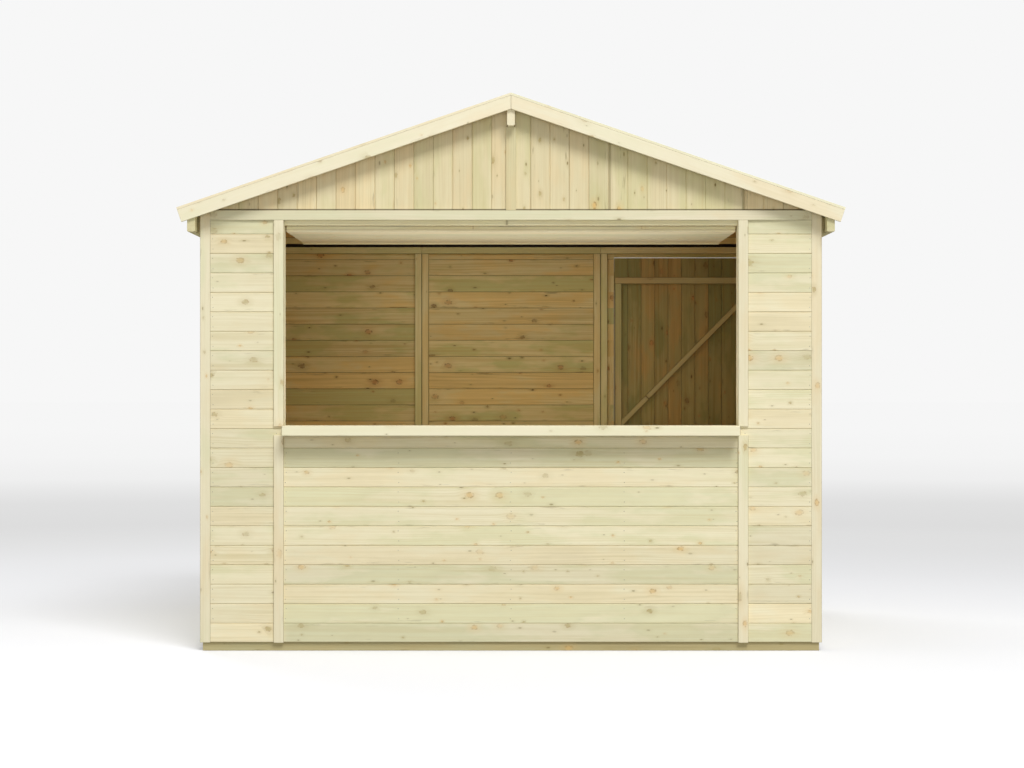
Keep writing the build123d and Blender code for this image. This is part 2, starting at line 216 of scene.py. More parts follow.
# Grain: every stick and board carries its own directions and chances for the wood shader
def edge_parts(mesh):
    """Loose parts by shared vertices only, so boards that touch stay apart."""
    count = len(mesh.vertices)
    parent = np.arange(count)
    ends = np.zeros(len(mesh.edges) * 2, dtype=int)
    mesh.edges.foreach_get("vertices", ends)
    ends = ends.reshape(-1, 2)
    while True:
        low = np.minimum(parent[ends[:, 0]], parent[ends[:, 1]])
        before = parent.copy()
        np.minimum.at(parent, ends[:, 0], low)
        np.minimum.at(parent, ends[:, 1], low)
        parent = parent[parent]
        if np.array_equal(before, parent):
            return parent, ends


def mark_grain(piece):
    """Store along, across and through distances, and random chances, on every loose part."""
    mesh = piece.data
    count = len(mesh.vertices)
    points = np.zeros(count * 3)
    mesh.vertices.foreach_get("co", points)
    points = points.reshape(-1, 3)
    roots, ends = edge_parts(mesh)
    spans = points[ends[:, 1]] - points[ends[:, 0]]
    lengths = np.linalg.norm(spans, axis=1)
    faces = {}
    for face in mesh.polygons:
        key = roots[face.vertices[0]]
        if key not in faces or face.area > faces[key].area:
            faces[key] = face
    grain = np.zeros((count, 3))
    board = np.zeros((count, 4))
    rim = np.zeros((count, 3))
    for number in np.unique(roots):
        own = np.nonzero(roots == number)[0]
        mine = np.nonzero(roots[ends[:, 0]] == number)[0]
        longest = mine[np.argmax(lengths[mine])]
        along = spans[longest] / lengths[longest]
        if along[np.argmax(np.abs(along))] < 0:
            along = -along
        through = np.array(faces[number].normal)
        through = through / np.linalg.norm(through)
        across = np.cross(through, along)
        across = across / np.linalg.norm(across)
        local = points[own] - (points[own].min(0) + points[own].max(0)) / 2
        placed = np.stack([local @ along, local @ across, local @ through], axis=1)
        reach = np.maximum(np.abs(placed).max(0), 1e-4)
        rim[own] = placed / reach
        shift = (
            chance.uniform(0, 40),
            chance.uniform(-0.035, 0.035) + chance.choice((0, 3.1, 7.7)),
            chance.uniform(0.015, 0.07),
        )
        grain[own] = placed + shift
        board[own] = (chance.random(), chance.random(), chance.random(), 1)
    for name, kind, values in (
        ("grain", "FLOAT_VECTOR", grain),
        ("rim", "FLOAT_VECTOR", rim),
        ("board", "FLOAT_COLOR", board),
    ):
        layer = mesh.attributes.new(name, kind, "POINT")
        layer.data.foreach_set("color" if kind == "FLOAT_COLOR" else "vector", values.ravel())


# Shader node helpers
def group_of(name, inputs, outputs):
    """A new shader node group with its sockets, and its input and output nodes."""
    tree = bpy.data.node_groups.new(name, "ShaderNodeTree")
    for label, kind, default in inputs:
        socket = tree.interface.new_socket(label, in_out="INPUT", socket_type=kind)
        if default is not None:
            socket.default_value = default
    for label, kind in outputs:
        tree.interface.new_socket(label, in_out="OUTPUT", socket_type=kind)
    return tree, tree.nodes.new("NodeGroupInput"), tree.nodes.new("NodeGroupOutput")


class Wiring:
    """Short ways of adding and joining nodes in one tree."""

    def __init__(self, tree):
        self.tree = tree

    def node(self, kind, **settings):
        made = self.tree.nodes.new(kind)
        for key, value in settings.items():
            setattr(made, key, value)
        return made

    def feed(self, value, socket):
        if isinstance(value, bpy.types.NodeSocket):
            self.tree.links.new(value, socket)
        elif value is not None:
            socket.default_value = value

    def math(self, operation, a, b=None, c=None, clamp=False):
        made = self.node("ShaderNodeMath", operation=operation, use_clamp=clamp)
        for value, socket in zip((a, b, c), made.inputs):
            self.feed(value, socket)
        return made.outputs[0]

    def remap(self, value, low, high, to_low=0.0, to_high=1.0, smooth=True):
        made = self.node("ShaderNodeMapRange", interpolation_type="SMOOTHSTEP" if smooth else "LINEAR")
        for given, socket in zip((value, low, high, to_low, to_high), made.inputs):
            self.feed(given, socket)
        return made.outputs[0]

    def stretch(self, vector, scale):
        made = self.node("ShaderNodeVectorMath", operation="MULTIPLY")
        self.feed(vector, made.inputs[0])
        made.inputs[1].default_value = scale
        return made.outputs[0]

    def noise(self, vector, scale=1.0, detail=2.0, rough=0.5):
        made = self.node("ShaderNodeTexNoise")
        self.feed(vector, made.inputs["Vector"])
        made.inputs["Scale"].default_value = scale
        made.inputs["Detail"].default_value = detail
        made.inputs["Roughness"].default_value = rough
        return made.outputs["Fac"]

    def blend(self, factor, a, b):
        made = self.node("ShaderNodeMix", data_type="RGBA")
        self.feed(factor, made.inputs["Factor"])
        self.feed(a, made.inputs[6])
        self.feed(b, made.inputs[7])
        return made.outputs[2]

    def bump(self, height, strength, distance):
        made = self.node("ShaderNodeBump")
        self.feed(height, made.inputs["Height"])
        made.inputs["Strength"].default_value = strength
        made.inputs["Distance"].default_value = distance
        return made.outputs[0]

    def parts(self, vector):
        made = self.node("ShaderNodeSeparateXYZ")
        self.feed(vector, made.inputs[0])
        return made.outputs[0], made.outputs[1], made.outputs[2]


def srgb(red, green, blue):
    """A linear colour from 0 to 255 display values."""
    linear = []
    for value in (red, green, blue):
        part = value / 255
        linear.append(part / 12.92 if part <= 0.04045 else ((part + 0.055) / 1.055) ** 2.4)
    return (*linear, 1.0)


def knot_layer(w, grain, scale, share, small, large, stretch, wobble):
    """Scattered irregular knots: their body, ring, halo of bent grain, and kind."""
    wander = w.node("ShaderNodeTexNoise")
    w.feed(w.stretch(grain, (48.0, 95.0, 1.0)), wander.inputs["Vector"])
    wander.inputs["Detail"].default_value = 2.0
    bent = w.node("ShaderNodeVectorMath", operation="MULTIPLY_ADD")
    w.feed(wander.outputs["Color"], bent.inputs[0])
    bent.inputs[1].default_value = (wobble, wobble, 0.0)
    w.feed(w.stretch(grain, (stretch, 1.0, 0.0)), bent.inputs[2])
    cells = w.node("ShaderNodeTexVoronoi", voronoi_dimensions="2D", feature="F1")
    w.feed(bent.outputs[0], cells.inputs["Vector"])
    cells.inputs["Scale"].default_value = scale
    luck, size, kind = w.parts(cells.outputs["Color"])
    floor_luck = w.math("SUBTRACT", 1.0, share)
    strength = w.remap(luck, floor_luck, 1.0, 0.35, 1.0, smooth=False)
    strength = w.math("MULTIPLY", strength, w.math("GREATER_THAN", luck, floor_luck))
    radius = w.remap(w.math("POWER", size, 2.0), 0.0, 1.0, small * scale, large * scale, smooth=False)
    part = w.math("DIVIDE", cells.outputs["Distance"], radius)
    body = w.remap(part, 0.35, 1.15, 1.0, 0.0)
    ring = w.math("MULTIPLY", w.remap(part, 0.5, 0.85), w.remap(part, 0.95, 1.2, 1.0, 0.0))
    broken = w.remap(w.noise(w.stretch(grain, (60.0, 80.0, 1.0)), 1.0, 1.0), 0.42, 0.6)
    ring = w.math("MULTIPLY", ring, broken)
    halo = w.remap(part, 0.8, 3.4, 1.0, 0.0)
    return [w.math("MULTIPLY", value, strength) for value in (body, ring, halo)] + [kind]


# Node group: growth rings, fibre, clouds and knots of a piece of planed softwood
def timber_figure():
    tree, given, out = group_of(
        "Timber figure",
        [("Grain", "NodeSocketVector", None), ("Knots", "NodeSocketFloat", 0.5)],
        [
            (label, "NodeSocketFloat")
            for label in (
                "Rings", "Streaks", "Fibre", "Cloud", "Drift",
                "Knot", "Ring", "Halo", "Kind", "Pin", "Pin halo", "Mark",
            )
        ],
    )
    w = Wiring(tree)
    grain = given.outputs["Grain"]
    _, across, through = w.parts(grain)
    share = given.outputs["Knots"]
    knot, ring, halo, kind = knot_layer(w, grain, 7.4, share, 0.004, 0.015, 0.66, 0.013)
    shifted = w.node("ShaderNodeVectorMath", operation="ADD")
    w.feed(grain, shifted.inputs[0])
    shifted.inputs[1].default_value = (3.7, 1.3, 0.0)
    pin_share = w.math("MULTIPLY", share, 0.55)
    pin, _, pin_halo, _ = knot_layer(w, shifted.outputs[0], 11.0, pin_share, 0.0020, 0.0056, 0.42, 0.004)

    sway = w.noise(w.stretch(grain, (0.8, 3.0, 3.0)), 1.0, 1.5)
    sway = w.math("MULTIPLY_ADD", sway, 0.07, -0.035)
    ripple = w.noise(w.stretch(grain, (6.0, 16.0, 16.0)), 1.0, 2.0)
    sway = w.math("MULTIPLY_ADD", ripple, 0.008, sway)
    sway = w.math("MULTIPLY_ADD", halo, 0.014, sway)
    sway = w.math("MULTIPLY_ADD", pin_halo, 0.004, sway)
    middle = w.math("PINGPONG", w.math("ADD", across, sway), 0.06)
    square = w.math("MULTIPLY_ADD", middle, middle, w.math("MULTIPLY", through, through))
    uneven = w.noise(w.stretch(grain, (0.3, 60.0, 60.0)), 1.0, 1.0)
    phase = w.math("MULTIPLY_ADD", w.math("SQRT", square), 760.0, w.math("MULTIPLY", uneven, 8.0))
    rings = w.math("POWER", w.math("MULTIPLY_ADD", w.math("SINE", phase), 0.5, 0.5), 2.2)
    fade = w.noise(w.stretch(grain, (0.9, 12.0, 12.0)), 1.0, 2.0)
    rings = w.math("MULTIPLY", rings, w.remap(fade, 0.38, 0.68, 0.15, 1.0))

    streaks = w.noise(w.stretch(grain, (1.4, 52.0, 52.0)), 1.0, 5.0, 0.66)
    fibre = w.noise(w.stretch(grain, (9.0, 420.0, 420.0)), 1.0, 3.0, 0.6)
    cloud = w.noise(w.stretch(grain, (3.4, 11.0, 11.0)), 1.0, 3.0, 0.6)
    drift = w.noise(w.stretch(grain, (1.2, 3.0, 3.0)), 1.0, 2.0, 0.5)
    mark = w.noise(w.stretch(grain, (7.0, 64.0, 64.0)), 1.0, 3.0, 0.6)

    for label, value in (
        ("Rings", rings),
        ("Streaks", w.remap(streaks, 0.3, 0.7)),
        ("Fibre", fibre),
        ("Cloud", w.remap(cloud, 0.32, 0.68, smooth=False)),
        ("Drift", w.remap(drift, 0.32, 0.68, smooth=False)),
        ("Knot", knot),
        ("Ring", ring),
        ("Halo", halo),
        ("Kind", kind),
        ("Pin", pin),
        ("Pin halo", pin_halo),
        ("Mark", w.remap(mark, 0.60, 0.74)),
    ):
        w.feed(value, out.inputs[label])
    return tree


# Node group: the colour, roughness and height of treated softwood from its figure
def timber_finish(figure):
    tree, given, out = group_of(
        "Timber finish",
        [
            ("Grain", "NodeSocketVector", None),
            ("Rim", "NodeSocketVector", None),
            ("Board", "NodeSocketColor", None),
            ("Pale", "NodeSocketColor", srgb(242, 235, 206)),
            ("Line", "NodeSocketColor", srgb(208, 194, 144)),
            ("Warm", "NodeSocketColor", srgb(246, 234, 200)),
            ("Green", "NodeSocketColor", srgb(224, 222, 188)),
            ("Tan knot", "NodeSocketColor", srgb(218, 178, 108)),
            ("Olive knot", "NodeSocketColor", srgb(170, 152, 92)),
            ("Knot ring", "NodeSocketColor", srgb(160, 122, 64)),
            ("Pin", "NodeSocketColor", srgb(126, 106, 58)),
            ("Seam", "NodeSocketColor", srgb(112, 94, 50)),
            ("Knots", "NodeSocketFloat", 0.9),
            ("Knot strength", "NodeSocketFloat", 0.7),
            ("Contrast", "NodeSocketFloat", 1.0),
            ("Variety", "NodeSocketFloat", 1.0),
            ("Joint", "NodeSocketFloat", 0.5),
            ("Joint start", "NodeSocketFloat", 0.95),
        ],
        [
            ("Colour", "NodeSocketColor"),
            ("Roughness", "NodeSocketFloat"),
            ("Height", "NodeSocketFloat"),
        ],
    )
    w = Wiring(tree)
    made = w.node("ShaderNodeGroup", node_tree=figure)
    w.feed(given.outputs["Grain"], made.inputs["Grain"])
    w.feed(given.outputs["Knots"], made.inputs["Knots"])
    tone, hue, _ = w.parts(given.outputs["Board"])
    variety = given.outputs["Variety"]
    cloud, drift = made.outputs["Cloud"], made.outputs["Drift"]

    lean = w.math("MULTIPLY_ADD", cloud, 0.42, w.math("MULTIPLY", hue, 0.62))
    lean = w.math("MULTIPLY_ADD", drift, 0.46, lean)
    green = w.math("MULTIPLY", w.remap(lean, 0.72, 1.10), variety)
    warm = w.math("MULTIPLY", w.remap(lean, 0.74, 0.36), variety)
    colour = w.blend(green, given.outputs["Pale"], given.outputs["Green"])
    colour = w.blend(warm, colour, given.outputs["Warm"])

    lines = w.math("MULTIPLY", made.outputs["Rings"], 0.20)
    lines = w.math("MULTIPLY_ADD", made.outputs["Streaks"], 0.20, lines)
    lines = w.math("MULTIPLY_ADD", made.outputs["Fibre"], 0.10, lines)
    lines = w.math("MULTIPLY", lines, given.outputs["Contrast"], clamp=True)
    colour = w.blend(lines, colour, given.outputs["Line"])

    level = w.remap(tone, 0.0, 1.0, -0.06, 0.03, smooth=False)
    level = w.math("MULTIPLY_ADD", w.math("SUBTRACT", drift, 0.5), 0.05, level)
    level = w.math("MULTIPLY_ADD", w.math("SUBTRACT", cloud, 0.5), 0.05, level)
    level = w.math("MULTIPLY_ADD", level, variety, 1.0)
    shade = w.node("ShaderNodeVectorMath", operation="SCALE")
    w.feed(colour, shade.inputs[0])
    w.feed(level, shade.inputs["Scale"])
    colour = shade.outputs[0]

    strength = given.outputs["Knot strength"]
    tan = w.remap(made.outputs["Kind"], 0.35, 0.65)
    knot_tint = w.blend(tan, given.outputs["Olive knot"], given.outputs["Tan knot"])
    for label, share, tint in (
        ("Halo", 0.30, knot_tint),
        ("Knot", 0.85, knot_tint),
        ("Ring", 0.85, given.outputs["Knot ring"]),
        ("Pin halo", 0.24, given.outputs["Olive knot"]),
        ("Pin", 1.0, given.outputs["Pin"]),
    ):
        amount = w.math("MULTIPLY", w.math("MULTIPLY", made.outputs[label], share), strength, clamp=True)
        colour = w.blend(amount, colour, tint)

    # Dark lines along the long edges of the faces, towards the Seam colour. On boards they are a darker
    # joint; on frame timbers and trims they are painted shade that stands in for the contact shadow
    # beside them. With the stains near the edges they make soil and painted shade together.
    _, side, face = w.parts(given.outputs["Rim"])
    side = w.math("ABSOLUTE", side)
    outer = w.remap(w.math("ABSOLUTE", face), 0.55, 0.85)
    start = given.outputs["Joint start"]
    seam = w.remap(side, start, w.math("ADD", start, 0.025))
    seam = w.math("MULTIPLY", seam, w.remap(side, 0.992, 0.996, 1.0, 0.0))
    seam = w.math("MULTIPLY", w.math("MULTIPLY", seam, outer), given.outputs["Joint"])
    near = w.math("MULTIPLY", w.remap(side, 0.45, 1.0), made.outputs["Mark"])
    near = w.math("MULTIPLY", w.math("MULTIPLY", near, 0.6), strength)
    soil_and_painted_shade = w.math("MAXIMUM", seam, w.math("MULTIPLY", near, outer))
    colour = w.blend(soil_and_painted_shade, colour, given.outputs["Seam"])

    rough = w.remap(made.outputs["Streaks"], 0.0, 1.0, 0.60, 0.74, smooth=False)
    rough = w.math("MULTIPLY_ADD", made.outputs["Knot"], -0.16, rough)
    w.feed(colour, out.inputs["Colour"])
    w.feed(rough, out.inputs["Roughness"])
    w.feed(w.math("MULTIPLY", made.outputs["Fibre"], 0.7), out.inputs["Height"])
    return tree


FIGURE = timber_figure()
FINISH = timber_finish(FIGURE)


def blank(name):
    """A new node material, its wiring and its shader."""
    material = bpy.data.materials.new(name)
    material.use_nodes = True
    return material, Wiring(material.node_tree), material.node_tree.nodes["Principled BSDF"]


def wood(name, tints, painted_shade_band=None, **amounts):
    """A planed softwood material. Tints and amounts replace those of the finish group.

    The band of painted shade gives the heights of the foot and the head of a dark line painted where
    shadow falls, and how strong it is.
    """
    material, w, shader = blank(name)
    made = w.node("ShaderNodeGroup", node_tree=FINISH)
    for label, attribute in (("Grain", "grain"), ("Rim", "rim"), ("Board", "board")):
        read = w.node("ShaderNodeAttribute", attribute_name=attribute)
        w.feed(read.outputs["Vector" if label != "Board" else "Color"], made.inputs[label])
    for label, tint in tints.items():
        made.inputs[label].default_value = tint
    for label, amount in amounts.items():
        made.inputs[label.replace("_", " ").capitalize()].default_value = amount
    w.feed(w.bump(made.outputs["Height"], 0.5, 0.0005), shader.inputs["Normal"])
    colour = made.outputs["Colour"]
    # A dark band of painted shade between two heights, where shadow falls.
    if painted_shade_band:
        foot_height, head_height, strength = painted_shade_band
        height = w.parts(w.node("ShaderNodeTexCoord").outputs["Object"])[2]
        soft = 0.0015
        foot = w.remap(height, foot_height - soft, foot_height)
        head = w.remap(height, head_height, head_height + soft, 1.0, 0.0)
        line = w.math("MULTIPLY", w.math("MULTIPLY", foot, head), strength)
        colour = w.blend(line, colour, srgb(26, 17, 4))
    w.feed(colour, shader.inputs["Base Color"])
    w.feed(made.outputs["Roughness"], shader.inputs["Roughness"])
    shader.inputs["Specular IOR Level"].default_value = 0.22
    return material


def painted_steel():
    """Black powder coat with scuffed, slightly uneven gloss."""
    material, w, shader = blank("Black hinge steel")
    place = w.node("ShaderNodeTexCoord").outputs["Object"]
    patches = w.noise(place, 45.0, 4.0, 0.6)
    orange_peel = w.noise(place, 900.0, 2.0, 0.5)
    scuffs = w.remap(w.noise(place, 260.0, 5.0, 0.7), 0.62, 0.74)
    colour = w.blend(w.math("MULTIPLY", scuffs, 0.35), srgb(34, 34, 36), srgb(96, 94, 90))
    w.feed(colour, shader.inputs["Base Color"])
    w.feed(w.remap(patches, 0.3, 0.7, 0.34, 0.52), shader.inputs["Roughness"])
    shader.inputs["Metallic"].default_value = 0.35
    w.feed(w.bump(orange_peel, 0.3, 0.0002), shader.inputs["Normal"])
    return material


def bare_steel():
    """Dull galvanised nail heads."""
    material, w, shader = blank("Galvanised nails")
    place = w.node("ShaderNodeTexCoord").outputs["Object"]
    patches = w.noise(place, 60.0, 3.0, 0.6)
    colour = w.blend(w.remap(patches, 0.35, 0.65), srgb(186, 182, 162), srgb(150, 144, 122))
    w.feed(colour, shader.inputs["Base Color"])
    w.feed(w.remap(w.noise(place, 400.0, 2.0), 0.3, 0.7, 0.42, 0.62), shader.inputs["Roughness"])
    shader.inputs["Metallic"].default_value = 0.5
    return material


# The wood's colours: pale outside; inside the room, deeper and darker copies of the same wood as painted
# shade of the room, with the door's darker still; greyer at the ground
INSIDE_SHADED_TINTS = {
    "Pale": srgb(232, 214, 154),
    "Line": srgb(190, 158, 92),
    "Warm": srgb(242, 210, 138),
    "Green": srgb(200, 196, 130),
    "Tan knot": srgb(190, 132, 74),
    "Olive knot": srgb(138, 112, 62),
    "Knot ring": srgb(112, 74, 36),
    "Pin": srgb(92, 68, 34),
    "Seam": srgb(76, 56, 26),
}
# Frame timbers inside, darkened as painted shade around the framing, with a near black Seam that paints
# contact shadow along their edges.
FRAME_SHADED_TINTS = {
    **INSIDE_SHADED_TINTS,
    "Pale": srgb(238, 224, 168),
    "Line": srgb(202, 176, 112),
    "Warm": srgb(242, 216, 150),
    "Green": srgb(214, 208, 146),
    "Seam": srgb(56, 40, 16),
}
# The door's inside, darker still: painted shade of the dim right end of the room, where the door stands.
DOOR_FRAME_SHADED_TINTS = {
    **INSIDE_SHADED_TINTS,
    "Pale": srgb(208, 192, 136),
    "Line": srgb(174, 148, 90),
    "Warm": srgb(214, 188, 128),
    "Green": srgb(192, 184, 124),
}
DOOR_SHADED_TINTS = {
    **INSIDE_SHADED_TINTS,
    "Pale": srgb(180, 164, 104),
    "Line": srgb(144, 118, 62),
    "Warm": srgb(202, 166, 100),
    "Green": srgb(150, 146, 88),
}
BEARER_TINTS = {
    "Pale": srgb(192, 184, 142),
    "Line": srgb(158, 144, 98),
    "Warm": srgb(198, 184, 138),
    "Green": srgb(176, 174, 130),
    "Seam": srgb(96, 84, 50),
}
EAVES_TINTS = {
    "Pale": srgb(222, 214, 174),
    "Line": srgb(192, 178, 130),
    "Warm": srgb(228, 212, 168),
    "Green": srgb(206, 204, 160),
}
TRIM_TINTS = {
    "Pale": srgb(240, 232, 204),
    "Line": srgb(214, 202, 160),
    "Warm": srgb(244, 230, 196),
    "Green": srgb(226, 224, 192),
}
BRIGHT_TINTS = {
    "Pale": srgb(243, 236, 210),
    "Line": srgb(224, 212, 170),
    "Warm": srgb(246, 232, 200),
    "Green": srgb(234, 231, 202),
}
GABLE_TINTS = {
    "Pale": srgb(232, 221, 184),
    "Line": srgb(198, 180, 130),
    "Warm": srgb(238, 220, 178),
    "Green": srgb(216, 210, 166),
}
LIP_TINTS = {
    "Pale": srgb(240, 233, 196),
    "Line": srgb(219, 206, 154),
    "Warm": srgb(241, 229, 186),
    "Green": srgb(229, 225, 182),
}

# The dark lines of painted shade at joints: shadow above the top trims and shade in the slot over the
# back rails; and how strong each wood's figure is
trim_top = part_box("top_trims")[1].z
# A line of painted shadow on the gable boards just above the top trims.
trim_shadow = (trim_top - 0.002, trim_top + 0.006, 0.72)
# The slot between the back rails and the gable rails is painted near black as shade, on the inside
# boards and on the frame timbers that cross it.
panel_gap_shade = (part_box("back_rails")[1].z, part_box("gable_rails")[0].z, 0.98)
inside_amounts = {"contrast": 1.6, "joint": 0.9, "knot_strength": 1.0}
frame_amounts = {"knots": 0.5, "contrast": 1.3, "joint": 0.75, "joint_start": 0.88}
CLADDING = wood("Cladding boards", {}, contrast=1.2, variety=1.35)
GABLES = wood("Gable boards", GABLE_TINTS, trim_shadow, contrast=1.2, knot_strength=1.0)
HATCHING = wood("Hatch boards", {}, joint=0.12, knots=0.4)
LIPPING = wood("Hatch lip timber", LIP_TINTS, joint=0.3, knots=0.4)
INSIDE = wood("Inside of boards", INSIDE_SHADED_TINTS, panel_gap_shade, variety=1.35, **inside_amounts)
DOOR_INSIDE = wood("Inside of door boards", DOOR_SHADED_TINTS, variety=1.45, **inside_amounts)
ROOFING = wood("Roof boards", {}, contrast=1.2)
INNER_FRAMING = wood("Inside frame timber", FRAME_SHADED_TINTS, panel_gap_shade, **frame_amounts)
DOOR_FRAMING = wood("Door frame timber", DOOR_FRAME_SHADED_TINTS, **frame_amounts)
EAVES = wood("Eaves timber", EAVES_TINTS, knots=0.5)
BEARERS = wood("Floor bearer timber", BEARER_TINTS, contrast=1.3, joint=0.0)
TRIMMING = wood("Trim timber", TRIM_TINTS, joint=0.7, joint_start=0.93)
BRIGHT_TRIM = wood("Barge and counter timber", BRIGHT_TINTS, contrast=0.8, joint=0.3, variety=0.8)
STEEL = painted_steel()
NAIL = bare_steel()


def settle(piece, material, node):
    """Give a finished piece its material and grain, hide the CAD node that it stands for, and put the
    piece on its body.
    """
    if not piece.data.materials:
        piece.data.materials.append(material)
    piece.data.materials[0] = material
    mark_grain(piece)
    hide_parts(node)
    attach(piece, body_of[node])


# Boards
def lay_boards(name, low, high, run, stack, outward, seam, cover=BOARD_COVER):
    """Tongue and groove boards that fill a box, with V joints on the outward side."""
    thick = 3 - run - stack
    first = seam + math.floor((low[stack] - seam) / cover + CLOSE) * cover
    count = math.ceil((high[stack] - first) / cover - CLOSE)
    start = list(low)
    end = list(high)
    start[stack] = first + BOARD_GAP / 2
    end[stack] = first + cover - BOARD_GAP / 2
    piece = box_piece(name, start, end)
    middle = (low[thick] + high[thick]) / 2
    face = high[thick] if outward > 0 else low[thick]
    back = low[thick] if outward > 0 else high[thick]

    def long_edge(edge, level):
        a, b = (vertex.co for vertex in edge.verts)
        flat = abs(a[thick] - level) < CLOSE and abs(b[thick] - level) < CLOSE
        return flat and abs(a[stack] - b[stack]) < CLOSE

    with editing(piece):
        for side in (-TONGUE / 2, TONGUE / 2):
            bpy.ops.mesh.select_all(action="SELECT")
            place = [0.0, 0.0, 0.0]
            place[thick] = middle + side
            bpy.ops.mesh.bisect(plane_co=place, plane_no=axis(thick))
        pick_faces(
            lambda f: abs(f.calc_center_median()[thick] - middle) < TONGUE / 4
            and f.normal[stack] > 0.9
        )
        shift = axis(stack) * BOARD_GAP
        bpy.ops.mesh.extrude_region_move(TRANSFORM_OT_translate={"value": shift})
        pick_edges(lambda e: long_edge(e, face))
        bpy.ops.mesh.bevel(offset=V_JOINT, segments=1, affect="EDGES")
        pick_edges(lambda e: long_edge(e, back))
        bpy.ops.mesh.bevel(offset=INNER_JOINT, segments=1, affect="EDGES")
    if count > 1:
        apply_modifier(
            piece,
            "ARRAY",
            count=count,
            use_relative_offset=False,
            use_constant_offset=True,
            constant_offset_displace=axis(stack) * cover,
        )
    if first < low[stack] - CLOSE:
        cut(piece, Vector(low), -axis(stack))
    if first + count * cover > high[stack] + CLOSE:
        cut(piece, Vector(high), axis(stack))
    piece.data.materials.append(None)
    piece.data.materials.append(INSIDE)
    for face_made in piece.data.polygons:
        if face_made.normal[thick] * outward < -0.5:
            face_made.material_index = 1
    return piece


def board_wall(name, node, run, stack, seam, material, outward, cover=BOARD_COVER, trim=None):
    """Boards over every solid of a CAD node, as one piece."""
    made = []
    for low, high in solid_boxes(node):
        sheet = lay_boards(name, low, high, run, stack, outward(low), seam, cover)
        if trim:
            trim(sheet, low)
        made.append(sheet)
    settle(join(name, made), material, node)


def front_or_back(low):
    """Which way is out for a wall at the front or the back."""
    return -1 if low[Y] < 0 else 1


def left_or_right(low):
    """Which way is out for a wall at the left or the right."""
    return -1 if low[X] < 0 else 1


ridge = Vector((0, 0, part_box("ridge_beam")[1].z))


def under_roof(piece, low):
    """Cut a gable sheet to the slope of the roof above it."""
    side = left_or_right(low)
    cut(piece, ridge, Vector((side * math.sin(ROOF_PITCH), 0, math.cos(ROOF_PITCH))))


def door_tongues(piece, _):
    """Leave a tongue standing into the gap down each side of the door and over its head."""
    low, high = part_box("door_boards")
    middle = (low.y + high.y) / 2
    for along, level, reach in (
        (X, low.x, -DOOR_TONGUE),
        (X, high.x, DOOR_TONGUE),
        (Z, high.z, DOOR_HEAD_TONGUE),
    ):
        with editing(piece):
            pick_faces(
                lambda f: abs(f.calc_center_median()[along] - level) < 1e-5
                and abs(f.calc_center_median().y - middle) < TONGUE / 2
                and abs(f.normal[along]) > 0.9
            )
            bpy.ops.mesh.extrude_region_move(TRANSFORM_OT_translate={"value": axis(along) * reach})
    piece.data.materials[1] = DOOR_INSIDE


def cladding():
    """All the boarded walls, the floor, the hatch and the door."""
    for name, node, run, outward in (
        ("front_side_cladding", "front_side_boards", X, front_or_back),
        ("front_lower_cladding", "front_lower_boards", X, front_or_back),
        ("side_cladding", "side_wall_boards", Y, left_or_right),
        ("back_cladding", "back_boards", X, front_or_back),
        ("over_door_cladding", "back_over_door_boards", X, front_or_back),
    ):
        board_wall(name, node, run, Z, FIRST_SEAM_Z, CLADDING, outward)
    board_wall("gable_cladding", "gable_boards", Z, X, 0.0, GABLES, front_or_back, trim=under_roof)
    board_wall("floor_planking", "floor_boards", Y, X, 0.0, INSIDE, lambda low: 1)
    hatch_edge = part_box("hatch_boards")[0].y
    board_wall("hatch_cladding", "hatch_boards", X, Y, hatch_edge, HATCHING, lambda low: -1)
    door_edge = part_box("door_boards")[0].x - DOOR_SEAM_SHIFT
    board_wall(
        "door_cladding", "door_boards", Z, X, door_edge, CLADDING, lambda low: 1,
        cover=DOOR_BOARD_COVER, trim=door_tongues,
    )


def roof_slope(side):
    """One slope of the roof: boards from the ridge to the eaves, laid flat and then tilted."""
    node = "roof_right" if side > 0 else "roof_left"
    low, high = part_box(node)
    thickness = (high.z - ridge.z) * math.cos(ROOF_PITCH)
    reach = max(abs(low.x), abs(high.x))
    length = (reach - thickness * math.sin(ROOF_PITCH)) / math.cos(ROOF_PITCH)
    ends = sorted((-side * ROOF_LAP, side * length))
    sheet = lay_boards(
        f"roof_boarding_{'right' if side > 0 else 'left'}",
        (ends[0], low.y, 0),
        (ends[1], high.y, thickness),
        X,
        Y,
        1,
        low.y,
    )
    choose(sheet)
    sheet.rotation_euler = (0, side * ROOF_PITCH, 0)
    sheet.location = ridge
    bpy.ops.object.transform_apply(location=True, rotation=True, scale=True)
    cut(sheet, Vector((0, 0, 0)), Vector((-side, 0, 0)))
    sheet.data.materials.append(BRIGHT_TRIM)
    for face in sheet.data.polygons:
        if abs(face.normal.y) > 0.9:
            face.material_index = 2
    settle(sheet, ROOFING, node)


